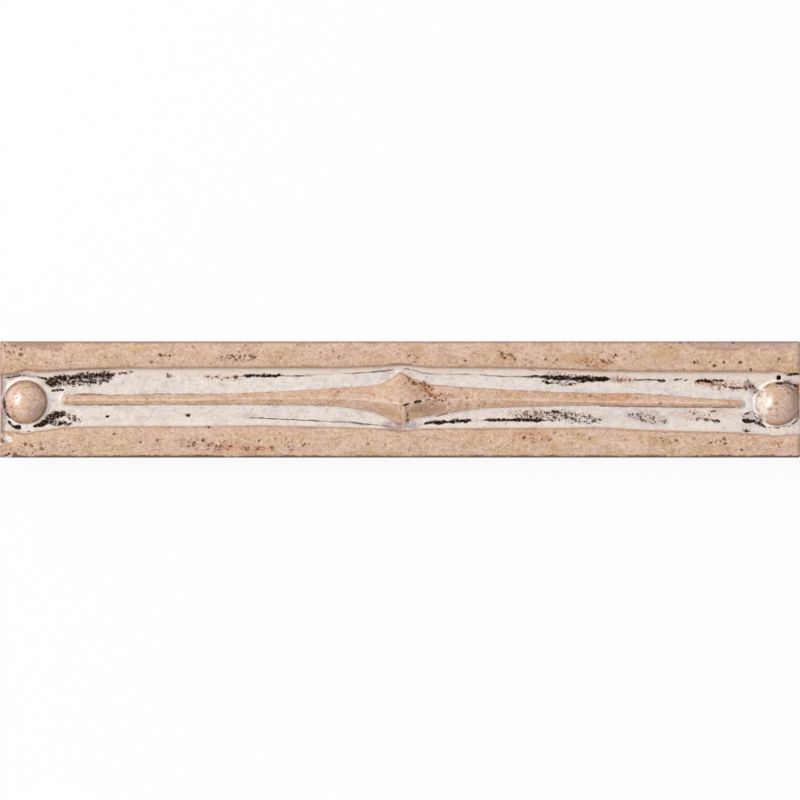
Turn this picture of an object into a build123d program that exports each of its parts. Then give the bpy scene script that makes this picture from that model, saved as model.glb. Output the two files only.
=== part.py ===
"""Glazed ceramic border tile with a bead-and-spindle relief, pressed and fired as one piece.

It lies on its back. X runs along the tile, Y across it and Z up, in millimetres, and the origin is
the middle of the back. Two rails frame a sunk channel. In the channel a long spindle, with a sharp
ridge and a four-pointed knop at its middle, lies on a low bed between two round beads.
"""

import os

from build123d import *

# Tile body
LENGTH = 152.4
WIDTH = 22.2
BODY_THICKNESS = 6.4  # back to the floor of the channel
CORNER_RADIUS = 0.3  # upright corners, seen from above
BACK_CHAMFER = 0.5  # bevel round the back

# Rails along the two long edges. Heights are above the floor of the channel.
RAIL_WIDTH = 5.35  # long edge of the tile to the rail's inner lip
RAIL_HEIGHT = 1.6
RAIL_CROWN = 0.2  # rise of the rail's middle above its two shoulders
EDGE_ROLL = 0.9  # rounding of the tile's long edges
END_ROLL = 0.8  # rounding of the rails at the tile's ends
LIP_RADIUS = 0.4  # rounding of the rail's inner edge
LIP_BATTER = 0.2  # lean of the steep face below that edge
LEDGE_RUN = 1.2  # width of the hollow slope from the steep face to the channel floor
LEDGE_SAG = 0.04  # depth of that hollow

# Level at which the steep faces of the rails and the facets of the spindle begin
SHOULDER_HEIGHT = 0.4

# Beads, one at each end
BEAD_DIAMETER = 8.4
BEAD_HEIGHT = 3.1
BEAD_NECK_HEIGHT = 0.4  # level at which the dome begins
BEAD_COVE = 0.5  # hollow round the bead's foot
BEAD_COVE_SAG = 0.08  # depth of that hollow
BEAD_END_GAP = 0.7  # bead to the end of the tile
BEAD_POCKET_GAP = 1.8  # bead to the lip of the rails beside it

# Spindle between the beads
SPINDLE_GAP = 2.6  # tip of the spindle to the bead
ROD_WIDTH = 1.3  # width that the spindle thins towards
ROD_HEIGHT = 1.0  # height that its ridge falls towards
KNOP_WIDTH = 10.0  # tip to tip across the middle
KNOP_HEIGHT = 2.6
FLARE_LENGTH = 4.5  # distance in which the knop loses half of what it has over the rod
FACET_BULGE = 0.06  # swelling of a facet between ridge and shoulder
SIDE_BATTER = 0.35  # lean of the steep side below the shoulder
NOSE_RADIUS = 1.0  # rounding of the spindle's tip, seen from the side
TIP_RADIUS = 1.5  # rounding of the spindle's tip, seen from above
SPINDLE_STATIONS = 12
STATION_CROWDING = 1.5  # power that crowds the stations towards the knop

# Low bed under the spindle
BED_TOP_WIDTH = 1.6
BED_HEIGHT = 0.35
BED_SAG = 0.04  # hollow of the bed's two slopes
BED_RUN_OUT = 20.0  # length over which the bed sinks into the floor at each end

# Key grooves pressed into the back for the adhesive
GROOVE_COUNT = 4
GROOVE_WIDTH = 1.8
GROOVE_DEPTH = 0.6
GROOVE_PITCH = 4.4
GROOVE_END_MARGIN = 9.0
GROOVE_DRAFT = 15.0  # degrees

# Depth by which the relief is rooted in the body
ROOT = 1.0

# Values worked out from the sizes above
FLOOR = BODY_THICKNESS
RAIL_TOP = FLOOR + RAIL_HEIGHT
HALF_LENGTH = LENGTH / 2
HALF_WIDTH = WIDTH / 2
LIP = HALF_WIDTH - RAIL_WIDTH
LEDGE_TOP = LIP - LIP_BATTER
LEDGE_FOOT = LEDGE_TOP - LEDGE_RUN
BEAD_RADIUS = BEAD_DIAMETER / 2
BEAD_X = HALF_LENGTH - BEAD_END_GAP - BEAD_RADIUS
SPINDLE_REACH = BEAD_X - BEAD_RADIUS - SPINDLE_GAP
OVERALL_HEIGHT = FLOOR + max(BEAD_HEIGHT, KNOP_HEIGHT, RAIL_HEIGHT + RAIL_CROWN)


def sagging(start, end, sag):
    """Arc from start to end whose middle lies the given depth to the right of the straight line."""
    chord = Vector(*end) - Vector(*start)
    right = Vector(chord.Y, -chord.X).normalized()
    middle = (Vector(*start) + Vector(*end)) / 2 + right * sag
    return ThreePointArc(start, middle, end)


def rail_lip_line(reach):
    """Inner face of a rail from its lip down to the floor, with the lip at the given distance out."""
    steep_foot = (reach - LIP_BATTER, FLOOR + SHOULDER_HEIGHT)
    slope_foot = (reach - LIP_BATTER - LEDGE_RUN, FLOOR)
    return [
        RadiusArc((reach + LIP_RADIUS, RAIL_TOP), (reach, RAIL_TOP - LIP_RADIUS), -LIP_RADIUS),
        Line((reach, RAIL_TOP - LIP_RADIUS), steep_foot),
        sagging(steep_foot, slope_foot, -LEDGE_SAG),
    ]


def body_section():
    """Cross-section of the tile without its relief: two crowned rails and the channel."""
    shoulder = HALF_WIDTH - EDGE_ROLL
    crown_middle = ((shoulder + LIP + LIP_RADIUS) / 2, RAIL_TOP + RAIL_CROWN)
    half = [
        Line((0, 0), (HALF_WIDTH - BACK_CHAMFER, 0)),
        Line((HALF_WIDTH - BACK_CHAMFER, 0), (HALF_WIDTH, BACK_CHAMFER)),
        Line((HALF_WIDTH, BACK_CHAMFER), (HALF_WIDTH, RAIL_TOP - EDGE_ROLL)),
        RadiusArc((HALF_WIDTH, RAIL_TOP - EDGE_ROLL), (shoulder, RAIL_TOP), -EDGE_ROLL),
        ThreePointArc((shoulder, RAIL_TOP), crown_middle, (LIP + LIP_RADIUS, RAIL_TOP)),
        *rail_lip_line(LIP),
        Line((LEDGE_FOOT, FLOOR), (0, FLOOR)),
        Line((0, FLOOR), (0, 0)),
    ]
    right = make_face(half)
    return right + mirror(right, about=Plane.YZ)


def end_outline():
    """Side view of the rails, with their ends rolled over and the back bevelled."""
    top = RAIL_TOP + RAIL_CROWN
    outline = Pos(0, top / 2) * Rectangle(LENGTH, top)
    outline = fillet(outline.vertices().group_by(Axis.Y)[-1], END_ROLL)
    return chamfer(outline.vertices().group_by(Axis.Y)[0], BACK_CHAMFER)


def bead_pocket():
    """Shallow round widening of the channel about a bead, to be cut out of the rails."""
    reach = BEAD_RADIUS + BEAD_POCKET_GAP
    above = RAIL_TOP + RAIL_CROWN + ROOT
    edges = [
        Line((0, FLOOR), (0, above)),
        Line((0, above), (reach + LIP_RADIUS, above)),
        Line((reach + LIP_RADIUS, above), (reach + LIP_RADIUS, RAIL_TOP)),
        *rail_lip_line(reach),
        Line((reach - LIP_BATTER - LEDGE_RUN, FLOOR), (0, FLOOR)),
    ]
    return revolve(Plane.XZ * make_face(edges), Axis.Z)


def bead():
    """Domed bead on a hollow foot."""
    foot = (BEAD_RADIUS + BEAD_COVE, FLOOR)
    neck = (BEAD_RADIUS, FLOOR + BEAD_NECK_HEIGHT)
    crown = FLOOR + BEAD_HEIGHT
    rise = crown - neck[1]
    ball = (BEAD_RADIUS**2 + rise**2) / (2 * rise)
    edges = [
        Line((0, FLOOR - ROOT), (foot[0], FLOOR - ROOT)),
        Line((foot[0], FLOOR - ROOT), foot),
        sagging(foot, neck, -BEAD_COVE_SAG),
        RadiusArc(neck, (0, crown), -ball),
        Line((0, crown), (0, FLOOR - ROOT)),
    ]
    return revolve(Plane.XZ * make_face(edges), Axis.Z)


def flare(distance, rod, knop):
    """A size of the spindle at a distance from its middle, falling from the knop's to the rod's."""
    return rod + (knop - rod) / (1 + distance / FLARE_LENGTH)


def spindle_section(distance):
    """Section of the spindle: two swelling facets that meet in a ridge, on steep sides."""
    half = flare(distance, ROD_WIDTH / 2, KNOP_WIDTH / 2)
    ridge = (0, FLOOR + flare(distance, ROD_HEIGHT, KNOP_HEIGHT))
    right, left = (half, FLOOR + SHOULDER_HEIGHT), (-half, FLOOR + SHOULDER_HEIGHT)
    foot = half + SIDE_BATTER
    edges = [
        Line((-foot, FLOOR - ROOT), (foot, FLOOR - ROOT)),
        Line((foot, FLOOR - ROOT), (foot, FLOOR)),
        Line((foot, FLOOR), right),
        sagging(right, ridge, FACET_BULGE),
        sagging(ridge, left, FACET_BULGE),
        Line(left, (-foot, FLOOR)),
        Line((-foot, FLOOR), (-foot, FLOOR - ROOT)),
    ]
    return Plane.YZ.offset(distance) * make_face(edges)


def spindle():
    """Both arms of the spindle, lofted out from the knop and rounded off at their tips."""
    steps = [i / SPINDLE_STATIONS for i in range(SPINDLE_STATIONS + 1)]
    arm = loft([spindle_section(SPINDLE_REACH * s**STATION_CROWDING) for s in steps])
    both = arm + mirror(arm, about=Plane.YZ)
    tip_height = flare(SPINDLE_REACH - 2 * NOSE_RADIUS, ROD_HEIGHT, KNOP_HEIGHT) + ROOT
    nose = Pos(0, FLOOR - ROOT + tip_height / 2) * Rectangle(2 * SPINDLE_REACH, tip_height)
    nose = fillet(nose.vertices().group_by(Axis.Y)[-1], NOSE_RADIUS)
    headroom = Pos(0, FLOOR + KNOP_HEIGHT) * Rectangle(2 * (SPINDLE_REACH - NOSE_RADIUS), 2 * KNOP_HEIGHT)
    side_view = extrude(Plane.XZ * (nose + headroom), amount=HALF_WIDTH, both=True)
    plan = SlotOverall(2 * SPINDLE_REACH, 2 * TIP_RADIUS) + Rectangle(2 * (SPINDLE_REACH - TIP_RADIUS), WIDTH)
    return both & side_view & extrude(plan, amount=OVERALL_HEIGHT)


def bed():
    """Low hollow-sided bed that carries the spindle and sinks into the floor towards the beads."""
    top = FLOOR + BED_HEIGHT
    edges = [
        Line((-LEDGE_FOOT, FLOOR - ROOT), (LEDGE_FOOT, FLOOR - ROOT)),
        Line((LEDGE_FOOT, FLOOR - ROOT), (LEDGE_FOOT, FLOOR)),
        sagging((LEDGE_FOOT, FLOOR), (BED_TOP_WIDTH / 2, top), -BED_SAG),
        Line((BED_TOP_WIDTH / 2, top), (-BED_TOP_WIDTH / 2, top)),
        sagging((-BED_TOP_WIDTH / 2, top), (-LEDGE_FOOT, FLOOR), -BED_SAG),
        Line((-LEDGE_FOOT, FLOOR), (-LEDGE_FOOT, FLOOR - ROOT)),
    ]
    reach = SPINDLE_REACH
    level = reach - BED_RUN_OUT
    long_view = Polyline(
        (-reach, FLOOR - ROOT), (reach, FLOOR - ROOT), (reach, FLOOR), (level, top),
        (-level, top), (-reach, FLOOR), close=True,
    )
    slab = extrude(Plane.YZ * make_face(edges), amount=reach, both=True)
    return slab & extrude(Plane.XZ * make_face(long_view), amount=HALF_WIDTH, both=True)


def key_grooves():
    """Round-ended grooves in the back, to be cut out of the body."""
    length = LENGTH - 2 * GROOVE_END_MARGIN
    groove = extrude(SlotOverall(length, GROOVE_WIDTH), amount=GROOVE_DEPTH, taper=GROOVE_DRAFT)
    return GridLocations(0, GROOVE_PITCH, 1, GROOVE_COUNT) * groove


def border_tile():
    """The whole tile as one solid."""
    body = extrude(Plane.YZ * body_section(), amount=HALF_LENGTH, both=True)
    body &= extrude(Plane.XZ * end_outline(), amount=WIDTH, both=True)
    at_beads = [Pos(-BEAD_X, 0, 0), Pos(BEAD_X, 0, 0)]
    body -= [place * bead_pocket() for place in at_beads]
    tile = body + bed() + spindle() + [place * bead() for place in at_beads]
    plan = extrude(RectangleRounded(LENGTH, WIDTH, CORNER_RADIUS), amount=OVERALL_HEIGHT)
    return (tile & plan) - key_grooves()


os.makedirs("parts", exist_ok=True)
export_step(border_tile(), "parts/border_tile.step")
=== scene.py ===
import bpy
import numpy as np
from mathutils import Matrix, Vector, noise
from mathutils.bvhtree import BVHTree


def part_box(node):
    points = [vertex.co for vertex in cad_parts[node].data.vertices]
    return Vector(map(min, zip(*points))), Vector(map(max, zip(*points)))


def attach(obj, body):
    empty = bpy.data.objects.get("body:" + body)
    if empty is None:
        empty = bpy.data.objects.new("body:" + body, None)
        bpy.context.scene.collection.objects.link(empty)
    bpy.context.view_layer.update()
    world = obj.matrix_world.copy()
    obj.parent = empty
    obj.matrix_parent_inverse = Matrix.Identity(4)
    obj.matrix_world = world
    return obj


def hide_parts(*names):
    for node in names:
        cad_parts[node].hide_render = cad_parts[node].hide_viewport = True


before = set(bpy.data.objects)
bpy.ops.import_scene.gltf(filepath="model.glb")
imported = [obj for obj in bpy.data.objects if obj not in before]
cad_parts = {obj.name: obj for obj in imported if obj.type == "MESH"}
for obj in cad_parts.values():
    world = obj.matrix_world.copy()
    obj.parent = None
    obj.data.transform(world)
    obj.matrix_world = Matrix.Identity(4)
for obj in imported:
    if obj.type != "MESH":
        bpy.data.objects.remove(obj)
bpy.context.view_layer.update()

# Pressed clay body
# One slab of clay, pressed face up in a mould by hand and fired in one piece. Its skin is a row of
# rings about the long axis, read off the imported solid, with a flat face and a bevel at each end.

MM = 0.001
low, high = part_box("border_tile")
HALF_LENGTH = high.x / MM
HALF_WIDTH = high.y / MM
HEIGHT = high.z / MM

STATION_COUNT = 521
STATION_CROWDING = 0.4  # crowds the rings towards the knop and the two beads
LIP = 5.75  # inner lip of a rail, from the middle line
LIP_MARGIN = 0.85  # how far the fine rows of the channel reach on to the rail
EDGE_ROLL = 0.9
BACK_BEVEL = 0.5
CHANNEL_ROWS = 43
RAIL_ROWS = 15
ROLL_ROWS = 7
SIDE_ROWS = 7
BACK_ROWS = 43
WAIST = 3.0  # height at which the upright sides are felt for
GRAZE = 0.03  # keeps a ray off the very rim of the solid
SPINDLE_END = 64.5

turn = np.linspace(-1, 1, STATION_COUNT)
stations = HALF_LENGTH * (turn - STATION_CROWDING * np.sin(2 * np.pi * turn) / (2 * np.pi))
channel_rows = np.linspace(0, LIP + LIP_MARGIN, CHANNEL_ROWS)
rail_rows = np.linspace(LIP + LIP_MARGIN, HALF_WIDTH - EDGE_ROLL, RAIL_ROWS)[1:]
roll_turn = np.linspace(0, np.pi / 2, ROLL_ROWS)[1:]
roll_rows = HALF_WIDTH - EDGE_ROLL * (1 - np.sin(roll_turn))
half_rows = np.concatenate([channel_rows, rail_rows, roll_rows])
rows = np.concatenate([-half_rows[:0:-1], half_rows])
FACE_ROWS = len(rows)

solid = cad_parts["border_tile"].data
mould = BVHTree.FromPolygons(
    [vertex.co / MM for vertex in solid.vertices],
    [polygon.vertices for polygon in solid.polygons],
)


def struck(start, direction):
    """Point at which a ray meets the solid, in millimetres."""
    return mould.ray_cast(Vector(start), Vector(direction))[0]


def ring(along):
    """Points round the solid at one station: the face, one side, the back and the other side."""
    x = float(np.clip(along, GRAZE - HALF_LENGTH, HALF_LENGTH - GRAZE))
    half = struck((x, 2 * HALF_WIDTH, WAIST), (0, -1, 0)).y
    across = np.clip(rows * half / HALF_WIDTH, GRAZE - half, half - GRAZE)
    face = [(along, y, struck((x, y, 2 * HEIGHT), (0, 0, -1)).z) for y in across]
    down = np.linspace(0, 1, SIDE_ROWS + 1)[1:]
    right = [(along, half, z) for z in face[-1][2] + (BACK_BEVEL - face[-1][2]) * down]
    left = [(along, -half, z) for z in face[0][2] + (BACK_BEVEL - face[0][2]) * down[::-1]]
    x_back = along * (1 - BACK_BEVEL / HALF_LENGTH)
    y_back = np.linspace(half - BACK_BEVEL, BACK_BEVEL - half, BACK_ROWS)
    back = [(x_back, y, struck((x_back, y, -HEIGHT), (0, 0, 1)).z) for y in y_back]
    return face + right + back + left


skin = np.array([ring(along) for along in stations])
RING = skin.shape[1]
FLOOR = skin[:, :FACE_ROWS, 2].min()

# The lines of the channel as they wandered in the press, as places along the tile and across it.
UPPER_LIP = (
    (-76.2, 4.6), (-71.4, 5.3), (-66.7, 5.45), (-61.9, 5.8), (-51.4, 6.05), (-11, 6.1), (-3.8, 6.35),
    (0, 6.7), (2.3, 6.45), (5.7, 6.15), (22.9, 6.05), (30.5, 5.85), (38, 5.55), (46, 5.4), (68.6, 5.3),
    (76.2, 4.8),
)
UPPER_EDGE = (
    (-76.2, 3.7), (-67, 3.7), (-64, 0.95), (-38, 1.1), (-22.9, 1.6), (-15.2, 2.1), (-7.6, 2.65),
    (-3.8, 2.95), (-1.1, 4.45), (0.2, 5.3), (1.9, 4.25), (3.8, 3.6), (5.7, 3.05), (9.5, 2.65),
    (15.2, 2.3), (24.8, 1.75), (38, 1.3), (45.7, 1.2), (49, 1.05), (53.3, 0.6), (58.4, 0.2), (61, 0.05),
    (64, -0.25), (67, 3.35), (76.2, 3.35),
)
RIDGE = (
    (-76.2, -0.5), (-67, -0.5), (-64, -0.1), (-38, -0.05), (-30, 0.15), (-19, 0.25), (-11.4, 0.15),
    (-7.6, 0), (-3, -0.35), (0.4, -0.9), (1.9, -0.6), (3.8, -0.3), (6.1, -0.05), (15.2, 0), (23, -0.05),
    (30.5, -0.25), (38, -0.5), (57, -0.65), (64, -0.85), (67, -0.85), (76.2, -0.85),
)
LOWER_EDGE = (
    (-76.2, -4.7), (-67, -4.7), (-64, -1.0), (-38, -1.15), (-22.9, -1.1), (-11.4, -1.4), (-7.6, -2.05),
    (-4.6, -2.6), (-1.5, -4.2), (0.2, -4.8), (1.9, -4.15), (3.8, -3.45), (6.1, -3.0), (9.5, -2.6),
    (15.2, -1.85), (26.7, -1.45), (38, -1.2), (45.7, -1.45), (53.3, -1.5), (61, -1.5), (64, -1.45),
    (67, -5.05), (76.2, -5.05),
)
LOWER_LIP = (
    (-76.2, -6.05), (-72, -6.4), (-68.6, -6.15), (-63.8, -5.4), (-57, -5.2), (-38, -5.25),
    (-26.7, -5.05), (-13.3, -5.35), (-3.8, -5.6), (0, -6.0), (1.9, -5.95), (3.8, -5.65), (30.5, -5.6),
    (38, -5.4), (45.7, -5.95), (53.3, -6.25), (62.9, -6.4), (70.5, -6.9), (76.2, -6.7),
)
UPPER_VALLEY = (
    (-76.2, 3.9), (-67, 4.05), (-62, 4.45), (-40, 4.3), (-29.9, 4.4), (-26.5, 4.55), (-18.9, 4.5),
    (-13.9, 4.8), (-9.1, 5.0), (-6, 5.15), (-3, 5.4), (0, 5.85), (1.6, 5.8), (2.9, 5.5), (4.4, 5.05),
    (6.9, 4.85), (13.5, 4.75), (19.6, 4.45), (26.4, 4.3), (30, 4.1), (35, 3.85), (50, 3.7), (62, 3.6),
    (67, 3.7), (76.2, 3.6),
)
LOWER_VALLEY = (
    (-76.2, -5.1), (-67, -5.05), (-62, -3.95), (-40, -3.7), (-28.4, -3.5), (-21.7, -3.8),
    (-13.9, -4.15), (-10, -4.3), (-5.5, -4.8), (-3, -5.05), (0.2, -5.4), (1.9, -5.1), (4.7, -4.6),
    (9.1, -4.35), (17, -3.95), (38, -3.95), (60, -4.05), (67, -5.5), (76.2, -5.5),
)
BEAD_RADIUS = 4.2
BEAD_ZONE = 65.5  # from here to the end, the bead takes the place of the spindle
EDGE_RISE = 0.4  # height above the floor at which the spindle's edge is felt for
VALLEY = 4.35  # where the ledge below a lip meets the bed
VALLEY_CLEARANCE = 0.35  # and how far it keeps out of the knop's way
STILL = 9.0  # from here out the rail keeps its place
EASING = 9  # stations over which a corner of a line is eased
# How far the two ends were pulled along the tile
END_STRETCH = (
    (-HALF_LENGTH, 0), (-75.5, -0.1), (-66, -0.1), (-60, 0), (45, 0), (SPINDLE_END, 1.1), (67, 0.65),
    (75.5, 0.55), (HALF_LENGTH, 0),
)
STRETCH_FADE = (4, 8)  # places across the tile between which that pull dies out
SOFTENING = 2  # rounds of smoothing that the glaze gives to every arris
TIP_SOFTENING = 10  # and to the two tips of the knop
TIP_REACH = (1.5, 4.0)
TIP_BAND = (2.8, 3.6, 5.4, 5.6)
CREST_SOFTENING = 45  # and to the crest of its upper arm
CREST_REACH = (2.5, 4.5)
CREST_BAND = (0.3, 1.3, 3.4, 4.2)


def strayed_line(points, row):
    """How far a line of the face lies from its row of the mould, at every station, with no corners."""
    x, y = (np.array(values) for values in zip(*points))
    stray = np.interp(stations, x, y - np.interp(x, stations, row))
    easing = np.hanning(EASING)
    padded = np.pad(stray, len(easing) // 2, mode="edge")
    return np.convolve(padded, easing / easing.sum(), mode="valid")


def softened(heights, rounds, axes=(0, 1)):
    """Heights of the face, each averaged with its neighbours along the tile and across it."""
    for _ in range(rounds):
        for axis in axes:
            ends = [(1, 1) if axis == 0 else (0, 0), (1, 1) if axis == 1 else (0, 0)]
            wide = np.pad(heights, ends, mode="edge")
            before = wide.take(range(0, wide.shape[axis] - 2), axis)
            after = wide.take(range(2, wide.shape[axis]), axis)
            heights = heights / 2 + (before + after) / 4
    return heights


along, across, heights = (skin[:, :FACE_ROWS, axis].copy() for axis in range(3))
heights = softened(heights, SOFTENING)
near_tip = np.interp(np.abs(along), TIP_REACH, (1, 0)) * np.interp(np.abs(across), TIP_BAND, (0, 1, 1, 0))
heights += near_tip * (softened(heights, TIP_SOFTENING, axes=(0,)) - heights)
near_crest = np.interp(np.abs(along), CREST_REACH, (1, 0)) * np.interp(across, CREST_BAND, (0, 1, 1, 0))
heights += near_crest * (softened(heights, CREST_SOFTENING, axes=(0,)) - heights)
relief = heights - FLOOR
middle_row = FACE_ROWS // 2
upper_half = relief[:, middle_row:]
edge_index = np.argmax(upper_half < EDGE_RISE, axis=1)
edge_row = across[np.arange(STATION_COUNT), middle_row + edge_index]
edge_row = np.where(np.abs(stations) > BEAD_ZONE, BEAD_RADIUS, edge_row)
valley_row = np.maximum(VALLEY, edge_row + VALLEY_CLEARANCE)
lip_row = np.full(STATION_COUNT, LIP)
anchors = np.stack([-lip_row, -valley_row, -edge_row, 0 * lip_row, edge_row, valley_row, lip_row])
drawn_lines = (LOWER_LIP, LOWER_VALLEY, LOWER_EDGE, RIDGE, UPPER_EDGE, UPPER_VALLEY, UPPER_LIP)
strays = np.stack([strayed_line(line, row) for line, row in zip(drawn_lines, anchors)])
for index in range(STATION_COUNT):
    places = np.concatenate([[-STILL], anchors[:, index], [STILL]])
    moves = np.concatenate([[0], strays[:, index], [0]])
    skin[index, :FACE_ROWS, 1] += np.interp(across[index], places, moves)
stretch = np.interp(along, *zip(*END_STRETCH))
skin[:, :FACE_ROWS, 0] += stretch * np.interp(np.abs(across), STRETCH_FADE, (1, 0))
skin[:, :FACE_ROWS, 2] = heights

# Wear, oxide, dirt and painted light
# Black oxide was washed over the fired glaze and wiped off, and stays in the valleys as crusts and
# grains. Kiln specks, rust, a purple bloom and chips are where the photograph has them. Some strokes
# also paint shade and highlights: shadow lines, darker edges, ends, lips and facets, and pale ridges.

# Each mark is a stroke: its two ends along and across the tile, its half width and its strength.
BLACK_OXIDE_AND_SHADOW = (
    # Above the left bead's shoulder
    (-69.2, 4.25, -67.2, 3.85, 0.25, 0.85), (-67.4, 3.3, -64.6, 3.0, 0.9, 0.76),
    (-66.8, 3.7, -62.7, 4.1, 0.85, 0.75), (-62.7, 4.3, -54.5, 4.75, 0.72, 0.79),
    (-64.5, 3.2, -55.0, 3.8, 0.9, 0.58), (-66.4, 1.75, -64.2, 1.85, 0.3, 0.76),
    (-54.5, 4.8, -50.6, 5.2, 0.3, 0.5),
    # Below it
    (-66.9, -3.4, -64.2, -2.6, 0.95, 0.86), (-69.7, -5.2, -67.3, -4.5, 0.44, 1.0),
    (-68.4, -4.6, -65.8, -3.5, 0.75, 0.84), (-67.0, -4.5, -62.6, -4.6, 0.55, 0.64),
    (-63.6, -3.0, -61.0, -4.2, 0.8, 0.52), (-74.7, -4.1, -74.1, -4.9, 0.24, 0.85),
    (-74.1, -4.9, -73.0, -5.4, 0.26, 0.85), (-73.2, -5.35, -72.6, -5.35, 0.7, 1.0),
    (-70.9, -6.05, -70.5, -6.05, 0.26, 0.9), (-75.0, 4.1, -72.2, 4.55, 0.16, 0.66),
    (-72.2, 4.55, -69.4, 4.3, 0.12, 0.5),
    # Left rim of the left bead
    (-75.4, 0.2, -75.3, -1.9, 0.34, 0.86), (-75.2, -2.3, -74.4, -3.6, 0.34, 0.8),
    (-74.0, -2.6, -73.4, -3.3, 0.35, 0.4),
    # Upper valley
    (-29.9, 4.55, -22.3, 4.55, 0.34, 0.84), (24.8, 4.45, 28.0, 4.3, 0.22, 0.85),
    (27.0, 4.3, 33.0, 4.0, 0.44, 0.94), (33.0, 3.9, 38.1, 3.85, 0.62, 0.98),
    (27.1, 3.6, 28.8, 3.1, 0.42, 0.9), (29.0, 3.3, 33.5, 2.9, 0.6, 0.5),
    (27.6, 5.0, 34.3, 4.7, 0.3, 0.36), (38.1, 4.0, 39.7, 3.9, 0.62, 0.98),
    (45.3, 3.77, 49.0, 3.77, 0.13, 0.7), (49.1, 3.6, 50.5, 3.6, 0.36, 0.92),
    (52.2, 3.8, 53.9, 3.8, 0.22, 0.72), (54.0, 3.6, 55.0, 3.6, 0.25, 0.6),
    (56.4, 3.6, 58.9, 3.6, 0.34, 0.86), (58.4, 3.8, 59.3, 3.2, 0.42, 0.98),
    (59.4, 3.6, 61.7, 3.6, 0.24, 0.72), (60.0, 2.8, 62.2, 2.6, 0.35, 0.46),
    (62.6, 2.3, 65.3, 2.1, 0.3, 0.62), (63.4, 3.5, 63.6, 3.5, 0.25, 0.85),
    (64.7, 3.5, 64.9, 3.5, 0.25, 0.85), (66.2, 3.7, 66.4, 3.6, 0.28, 0.85),
    (65.6, 2.5, 66.0, 1.9, 0.3, 0.72),
    # Knop: a crack along the ridge, and a painted shadow on the shadow side of the rib
    (0.5, -1.15, 1.85, -0.75, 0.17, 0.9), (2.7, -0.6, 3.9, -0.2, 0.36, 1.0),
    (4.6, -0.1, 9.1, -0.15, 0.26, 0.46), (1.45, -2.4, 1.55, -4.7, 0.2, 0.66),
    # Lower valley
    (4.6, -4.65, 6.0, -4.4, 0.25, 0.9), (5.8, -4.35, 9.1, -4.3, 0.42, 1.0),
    (9.1, -4.25, 12.0, -4.1, 0.36, 0.74), (11.8, -4.0, 13.4, -4.05, 0.36, 0.96),
    (16.2, -3.95, 21.0, -3.9, 0.34, 0.85), (21.0, -3.9, 27.6, -3.95, 0.34, 0.9),
    (22.0, -3.0, 28.0, -3.2, 0.5, 0.44), (27.6, -2.7, 38.0, -4.0, 1.2, 0.44),
    (29.1, -2.3, 30.7, -2.6, 0.32, 0.82), (28.2, -3.4, 29.1, -4.1, 0.3, 0.76),
    (30.5, -3.0, 33.5, -3.9, 0.4, 0.6), (43.8, -3.0, 50.5, -4.2, 1.1, 0.36),
    (56.4, -3.6, 57.7, -3.7, 0.3, 0.52), (57.7, -3.75, 59.5, -4.0, 0.3, 0.56),
    (59.5, -4.0, 61.1, -4.2, 0.34, 0.78), (59.5, -2.3, 60.2, -2.15, 0.28, 0.92),
    (56.8, -2.4, 57.2, -2.4, 0.28, 0.5),
    # About the right bead
    (65.2, -3.4, 66.4, -2.6, 0.36, 0.55), (66.4, -2.6, 67.3, -2.4, 0.36, 0.55),
    (67.2, -2.4, 69.2, -4.2, 0.4, 0.52), (66.0, 3.3, 68.0, 1.6, 0.7, 0.46),
    (65.3, -4.0, 67.3, -4.2, 0.5, 1.0), (67.2, -4.0, 69.4, -5.1, 0.42, 0.72),
    (69.3, -5.2, 69.6, -5.2, 0.3, 0.9), (65.2, -5.8, 66.6, -6.05, 0.25, 0.76),
    # The last stroke on this line and the first on the next are thin painted shadows under the right bead.
    (72.0, -5.5, 72.2, -5.5, 0.24, 0.85), (70.1, -5.4, 74.3, -5.1, 0.16, 0.46),
    (74.3, -5.1, 76.1, -3.7, 0.18, 0.5), (71.6, 3.05, 73.2, 3.05, 0.24, 0.85),
    (73.2, 3.3, 75.2, 2.9, 0.42, 0.62), (74.9, 2.8, 75.8, 2.4, 0.3, 0.9),
    (73.9, 4.6, 76.2, 4.95, 0.24, 0.9),
    # Single dots in the channel
    (-55.9, -3.15, -55.3, -3.2, 0.34, 0.9), (-54.4, -3.0, -54.2, -3.0, 0.24, 0.5),
    (-40.6, -2.95, -40.2, -2.95, 0.7, 0.7), (-42.8, -3.2, -42.6, -3.2, 0.24, 0.46),
    # Broken corner
    (-76.0, -7.8, -75.9, -8.1, 0.9, 1.0), (-75.4, -10.8, -74.3, -10.3, 0.34, 0.95),
    (-76.2, -8.9, -75.8, -9.0, 0.25, 0.7),
)
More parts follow.
